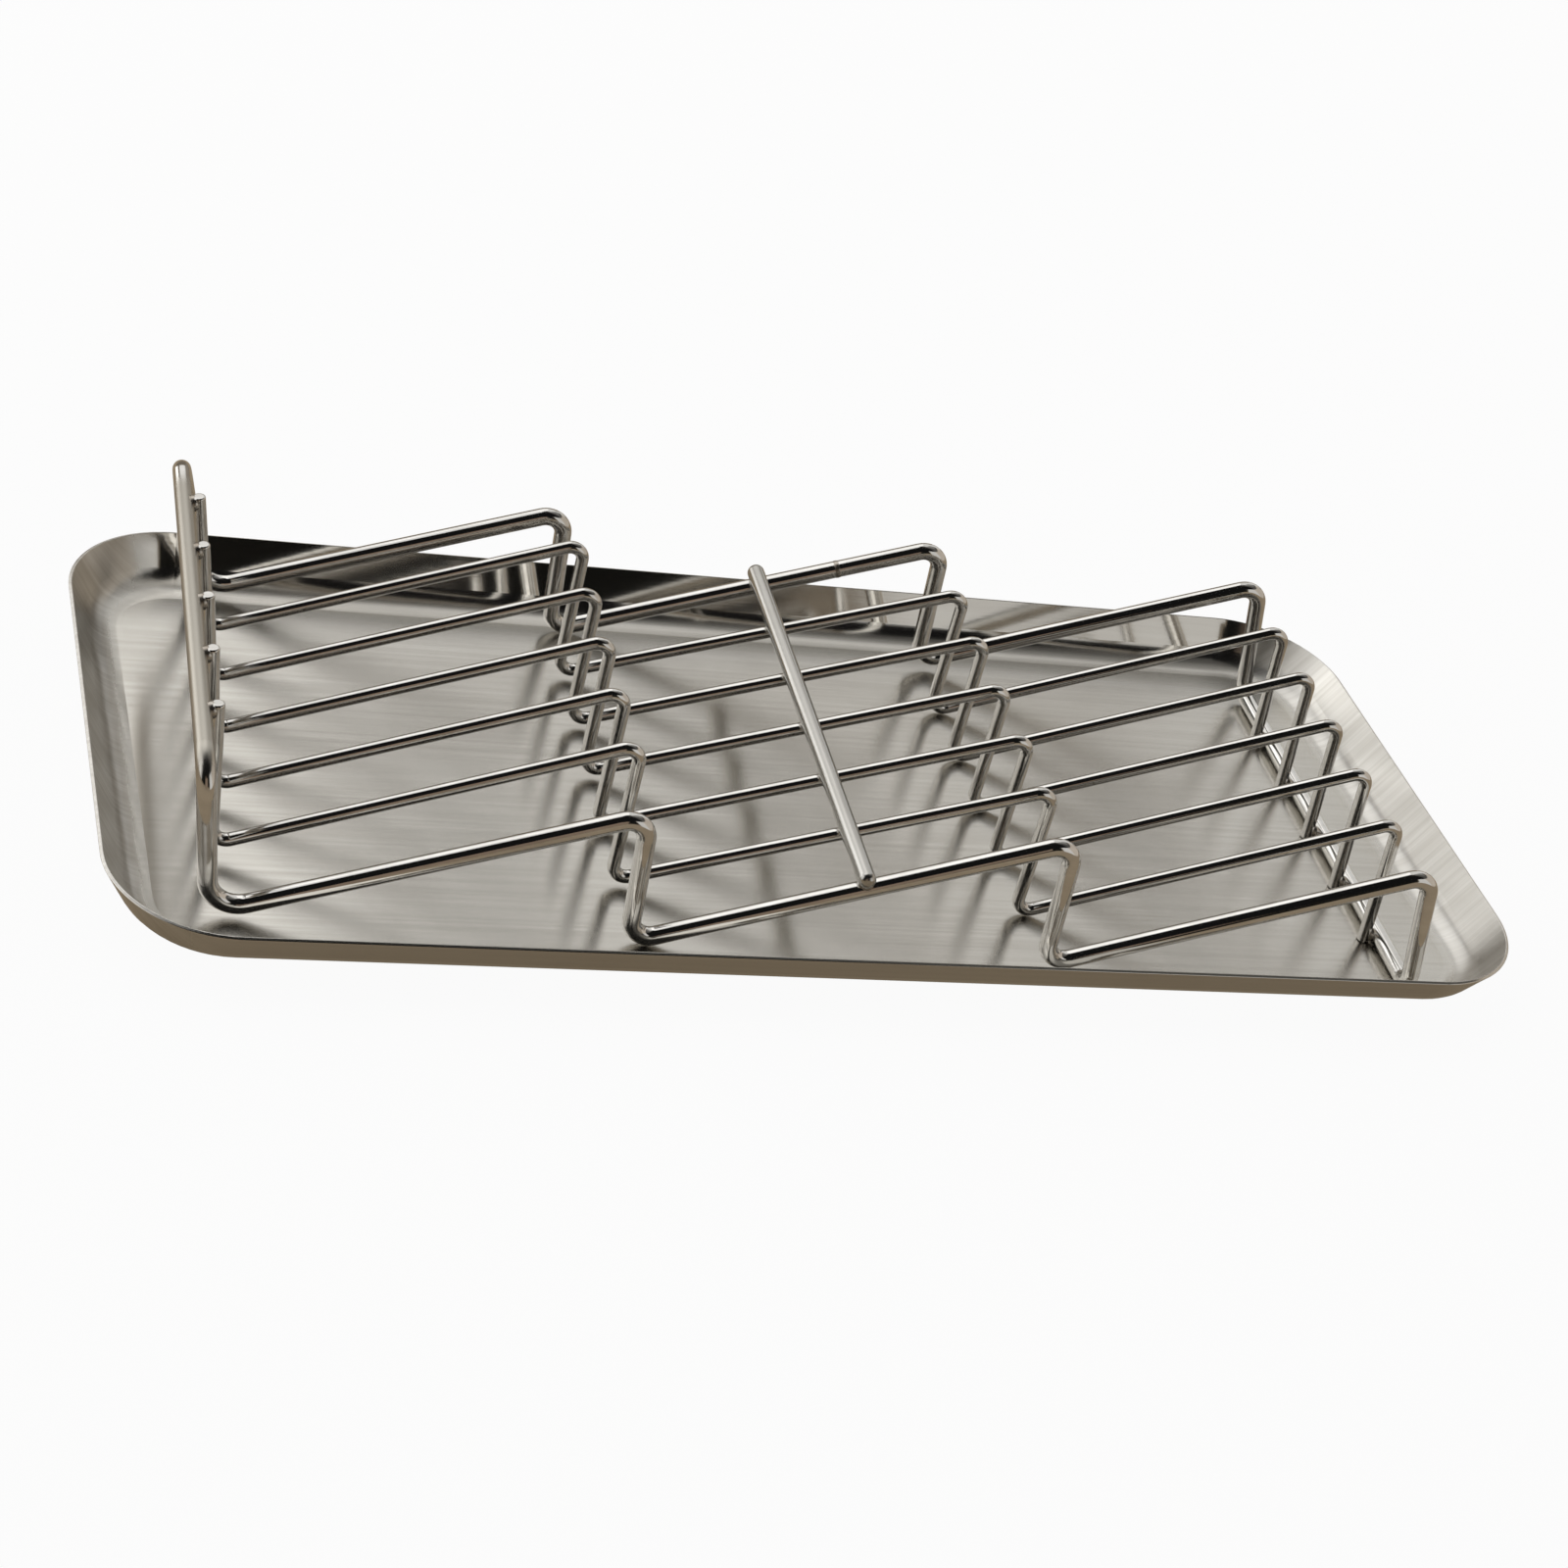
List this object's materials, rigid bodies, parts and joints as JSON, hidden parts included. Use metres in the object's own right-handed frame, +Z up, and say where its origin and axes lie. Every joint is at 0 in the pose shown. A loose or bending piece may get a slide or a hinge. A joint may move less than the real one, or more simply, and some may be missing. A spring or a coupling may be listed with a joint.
{
  "type": "stepped wire rack in a tray",
  "caption": "Shallow sheet-steel tray holding a loose zig-zag wire rack with sloping steps, a back rest rod and a cross rod.",
  "frame": {"origin": "middle of the tray's flat underside, where it stands", "axes": "+X along the tray from the back rest to the toe of the rack, +Y across the tray, to the left when looking from the back rest to the toe, +Z up"},
  "size_m": [0.3938, 0.1812, 0.0484],
  "materials": {
    "tray_sheet": "satin brushed stainless sheet",
    "thick_wire": "polished stainless wire",
    "thin_wire": "polished stainless wire",
    "rod": "satin stainless rod",
    "weld": "bare weld bead"
  },
  "bodies": {
    "tray": {"tray": "tray_sheet"},
    "rack": {"rack_frame": "thick_wire", "wire_1": "thin_wire", "wire_2": "thin_wire", "wire_3": "thin_wire", "wire_4": "thin_wire", "wire_5": "thin_wire", "top_rod": "rod", "welds_back": "weld", "welds_top": "weld", "welds_foot": "weld", "weld_seam": "weld"}
  },
  "joints": [
    {"name": "rack_lift", "type": "slide", "parent": "tray", "child": "rack", "axis": [0, 0, 1], "range_m": [0, 0.08]}
  ]
}
